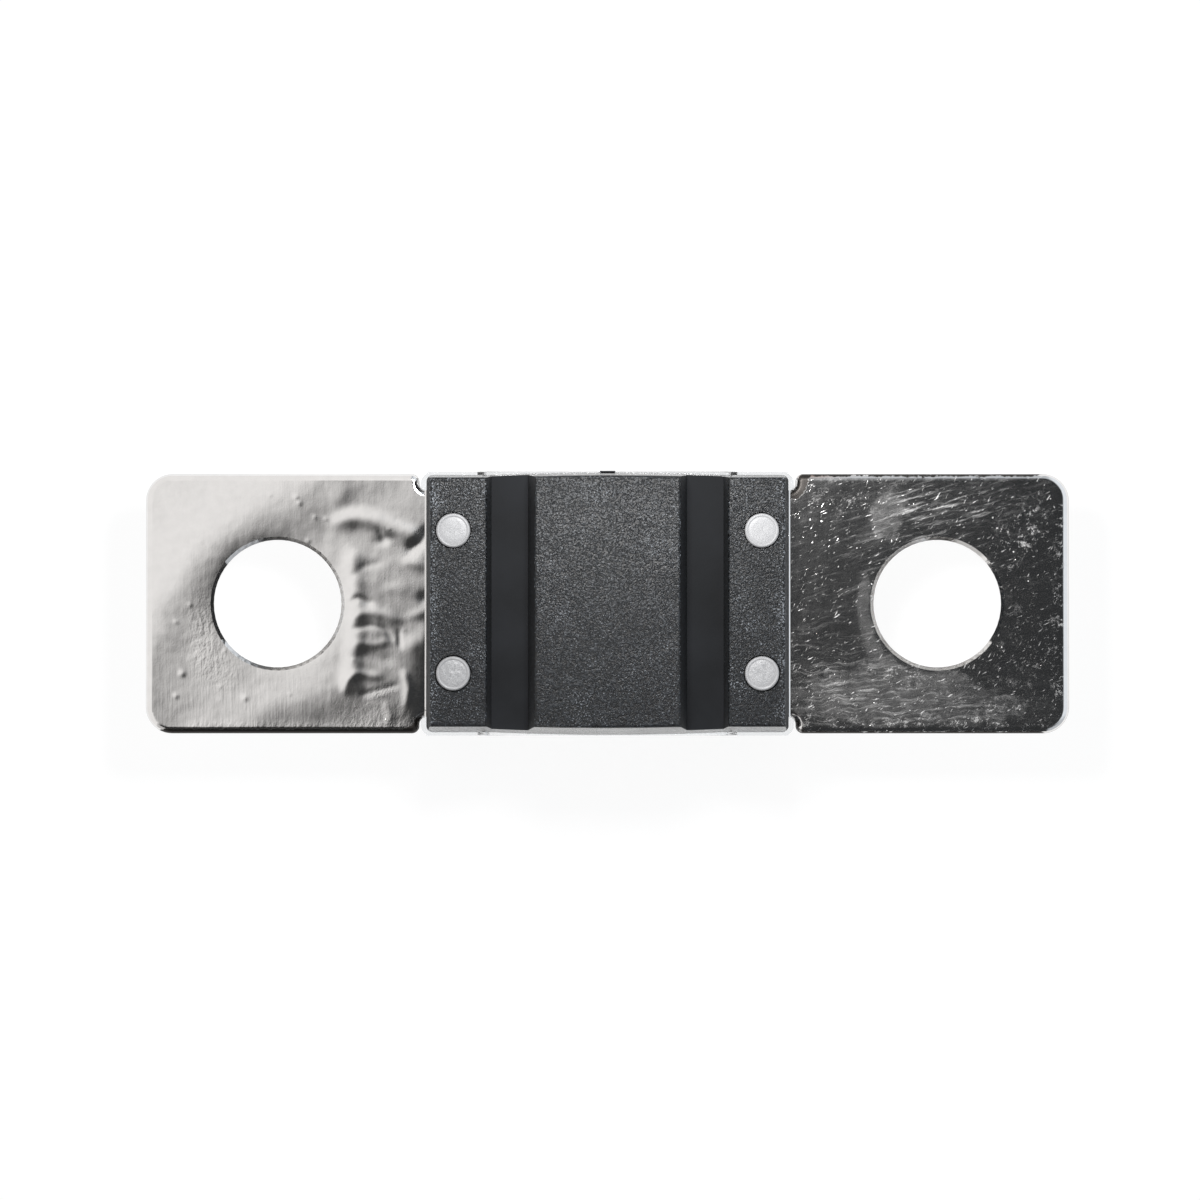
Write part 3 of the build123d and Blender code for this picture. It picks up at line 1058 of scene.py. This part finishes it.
@dataclass
class ClearCover:
    """The clear cover with its four pegs, melted over on the base."""

    head_cut: float = 7.9
    head_radius: float = 0.77
    head_margin: float = 0.1
    calm_lumps: float = 0.012
    rough_lumps: float = 0.045
    lump_scale: float = 3.1
    lump_reach: float = 1.2
    melted_slot: int = 1
    wall_y: float = 5.0
    wall_gap: float = 0.01
    rings: tuple[Point, ...] = ((1.0, -0.10), (0.975, -0.045), (0.93, -0.008), (0.88, 0.0),
                                (0.83, -0.012), (0.79, -0.035), (0.74, -0.03), (0.66, -0.022),
                                (0.56, -0.018), (0.46, -0.016), (0.36, -0.014), (0.26, -0.012),
                                (0.16, -0.012), (0.08, -0.012))

    def build(self, clear: ClearPlastic, melted: MeltedPlastic) -> bpy.types.Object:
        """Make the cover in place of its CAD node.

        Args:
            clear: Finish of the body.
            melted: Finish of the peg heads.

        Returns:
            The cover.
        """
        mesh = copy_of("cover")
        geometry = list(mesh.verts) + list(mesh.edges) + list(mesh.faces)
        bmesh.ops.bisect_plane(mesh, geom=geometry, dist=TOUCH, plane_co=(0, 0, self.head_cut * MM),
                               plane_no=(0, 0, 1), clear_outer=True)
        self._lower_walls(mesh)
        for index, (sign_x, sign_y) in enumerate(((-1, 1), (1, 1), (-1, -1), (1, -1))):
            self._head(mesh, sign_x * PLACES.peg_x, sign_y * PLACES.peg_y, index)
        piece = finish_mesh(mesh, "clear_cover", [clear.material(), melted.material()])
        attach(piece, "root")
        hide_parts("cover")
        return piece

    def _lower_walls(self, mesh: bmesh.types.BMesh) -> None:
        """Keep the walls beside the neck a hair under the base, so that no faces coincide."""
        for vertex in mesh.verts:
            on_top = abs(vertex.co.z - PLACES.strip_upper * MM) < 2 * WELD * MM
            if on_top and abs(vertex.co.y) > self.wall_y * MM:
                vertex.co.z -= self.wall_gap * MM

    def _open_loop(self, mesh: bmesh.types.BMesh, centre: Vector) -> list[bmesh.types.BMEdge]:
        """The open edges round a cut peg.

        Args:
            mesh: The cover's mesh.
            centre: The peg's place in plan, metres.

        Returns:
            The edges.
        """
        reach = (self.head_radius + self.head_margin) * MM
        return [edge for edge in mesh.edges
                if edge.is_boundary and (edge.verts[0].co.xy - centre).length < reach]

    def _head(self, mesh: bmesh.types.BMesh, x: float, y: float, index: int) -> None:
        """Close one peg with a melted head.

        Args:
            mesh: The cover's mesh, cut open at the head.
            x: Place of the peg.
            y: Place of the peg.
            index: Number of the peg. The first two heads are calmer than the others.
        """
        centre = Vector((x, y)) * MM
        bmesh.ops.subdivide_edges(mesh, edges=self._open_loop(mesh, centre), cuts=1)
        loop = self._open_loop(mesh, centre)
        lumps = self.calm_lumps if index < 2 else self.rough_lumps
        skin = []
        for share, rise in self.rings:
            grown = bmesh.ops.extrude_edge_only(mesh, edges=loop)["geom"]
            loop = [part for part in grown
                    if isinstance(part, bmesh.types.BMEdge) and part.is_boundary]
            skin += [part for part in grown if isinstance(part, bmesh.types.BMFace)]
            for vertex in {v for edge in loop for v in edge.verts}:
                ray = (vertex.co.xy - centre).normalized() * self.head_radius * share * MM
                spot = Vector((ray.x, ray.y, index * MM)) / MM * self.lump_scale
                lump = noise.noise(spot) * lumps * (self.lump_reach - share)
                height = (PLACES.head_top + rise - abs(lump)) * MM
                vertex.co = Vector((centre.x + ray.x, centre.y + ray.y, height))
        skin += bmesh.ops.contextual_create(mesh, geom=loop)["faces"]
        for face in skin:
            face.material_index = self.melted_slot


@dataclass
class StayingNodes:
    """The CAD nodes that are shown as they are, with a finish of their own."""

    base: MouldedBlack = MouldedBlack()
    pill: SoftTin = SoftTin()

    def dress(self) -> None:
        """Give each node its material."""
        for name, finish, slot in (("base", self.base, "base"), ("tin_pill", self.pill, "pill")):
            node = frame["nodes"][name]
            node.data.materials.clear()
            node.data.materials.append(finish.material())
            LOG.info("dressed %s", name)


# Studio

@dataclass(frozen=True)
class Room:
    """The room that metal mirrors, by direction: white in the west, dark overhead."""

    slant: float = 0.8
    west: Span = (-0.01, 0.125)
    west_end: Span = (0.01, 0.06)
    east: Span = (0.16, 0.4)
    east_end: Span = (-0.45, -0.15)
    wall_height: Span = (0.9, 0.72)
    wall_level: float = 0.6
    gap_south: Span = (-0.1, -0.3)
    gap_side: Span = (0.03, 0.07)
    darkest: float = 0.03
    contrast: float = 0.915

    def brightness(self, nodes: Nodes, toward: Wire) -> Wire:
        """Brightness that the room shows in a direction.

        Args:
            nodes: The world's nodes.
            toward: The direction.

        Returns:
            The brightness, where 1 is white.
        """
        x, y, z = (nodes.part(toward, axis) for axis in Axis)
        west = nodes.ease(y * self.slant - x, *self.west) * (1 - nodes.ease(x, *self.west_end))
        east = nodes.ease(x, *self.east) * nodes.ease(y, *self.east_end)
        gap = nodes.ease(y, *self.gap_south) * (1 - nodes.ease(x * x, *self.gap_side))
        walls = nodes.ease(z, *self.wall_height) * (1 - gap) * self.wall_level
        lit = west + east - west * east
        return self.darkest + self.contrast * (lit + walls - lit * walls)


@dataclass
class Studio:
    """Floor, light and camera of the picture."""

    target: tuple[float, float, float] = (-0.34, 0.16, 5.0)
    distance: float = 250.0
    lean: float = 1.3
    frame_width: float = 54.545
    sensor: float = 36.0
    clip_start: float = 10.0
    clip_end: float = 10000.0
    floor_half: float = 1500.0
    paper: Colour = (0.9, 0.9, 0.9)
    shadow_share: float = 0.18
    floor_glow: float = 1.09
    plain_level: float = 0.55
    warm: Colour = (1.0, 0.985, 0.975)
    cool: Colour = (0.93, 0.98, 1.04)
    tint_change: Span = (-0.02, 0.06)
    lamp_place: tuple[float, float, float] = (0.0, 14.0, 40.0)
    lamp_side: float = 12.0
    lamp_watts: float = 0.0155

    def camera(self) -> bpy.types.Object:
        """Make the camera at the picture's angle."""
        data = bpy.data.cameras.new("camera")
        data.sensor_width = self.sensor
        data.lens = self.sensor * self.distance / self.frame_width
        data.clip_start = self.clip_start * MM
        data.clip_end = self.clip_end * MM
        camera = bpy.data.objects.new("camera", data)
        lean = math.radians(self.lean)
        back = Vector((0, -math.sin(lean), math.cos(lean)))
        camera.location = (Vector(self.target) + back * self.distance) * MM
        camera.rotation_euler = (lean, 0, 0)
        bpy.context.scene.collection.objects.link(camera)
        bpy.context.scene.camera = camera
        return camera

    def floor(self) -> bpy.types.Object:
        """Make the pale floor under the fuse."""
        mesh = bmesh.new()
        bmesh.ops.create_grid(mesh, x_segments=1, y_segments=1, size=self.floor_half * MM)
        material, nodes = new_material("floor")
        shown = nodes.largest(nodes.hit_by(Ray.CAMERA), nodes.hit_by(Ray.GLOSSY),
                              nodes.hit_by(Ray.TRANSMISSION))
        paper = nodes.add("ShaderNodeBsdfDiffuse", None, {"Color": (*self.paper, 1.0)})
        glow = nodes.add("ShaderNodeEmission", None, {
            "Color": (1.0, 1.0, 1.0, 1.0), "Strength": self.floor_glow})
        mixed = nodes.add("ShaderNodeMixShader", None, {
            0: shown * (1 - self.shadow_share), 1: paper, 2: glow})
        nodes.surface(mixed)
        floor = finish_mesh(mesh, "floor", [material])
        return floor

    def world(self) -> None:
        """Make the surroundings: white to the camera, plain to matt faces, a studio to metal."""
        world = bpy.data.worlds.new("studio")
        world.use_nodes = True
        bpy.context.scene.world = world
        nodes = Nodes(world.node_tree)
        toward = nodes.add("ShaderNodeTexCoord", out="Generated")
        studio = Room().brightness(nodes, toward)
        level = nodes.choose(nodes.hit_by(Ray.GLOSSY), self.plain_level, studio)
        level = nodes.choose(nodes.hit_by(Ray.CAMERA), level, 1.0)
        tint = nodes.blend(nodes.ease(nodes.part(toward, Axis.X), *self.tint_change),
                           self.warm, self.cool)
        light = nodes.add("ShaderNodeBackground", None, {"Color": tint, "Strength": level})
        nodes.add("ShaderNodeOutputWorld", None, {"Surface": light})

    def lamp(self) -> bpy.types.Object:
        """Hang the soft lamp that looks at the fuse."""
        data = bpy.data.lights.new("window", "AREA")
        data.shape = "RECTANGLE"
        data.size = data.size_y = self.lamp_side * MM
        data.energy = self.lamp_watts
        lamp = bpy.data.objects.new("window", data)
        place = Vector(self.lamp_place)
        lamp.location = place * MM
        lamp.rotation_euler = place.to_track_quat("Z", "Y").to_euler()
        lamp.visible_camera = False
        bpy.context.scene.collection.objects.link(lamp)
        return lamp

    def build(self) -> None:
        """Set the whole studio up."""
        self.camera()
        self.floor()
        self.world()
        self.lamp()
        bpy.context.scene.view_settings.view_transform = "Standard"


def main() -> None:
    """Build every piece."""
    logging.basicConfig(level=logging.INFO, format="%(name)s: %(message)s")
    Studio().build()
    strip = TinnedStrip(strip_relief(), strip_wear(), strip_edge_shade()).build(TinPlate())
    LOG.info("strip: %d faces", len(strip.data.polygons))
    cover = ClearCover().build(ClearPlastic(), MeltedPlastic())
    LOG.info("cover: %d faces", len(cover.data.polygons))
    StayingNodes().dress()


if __name__ == "__main__":
    main()
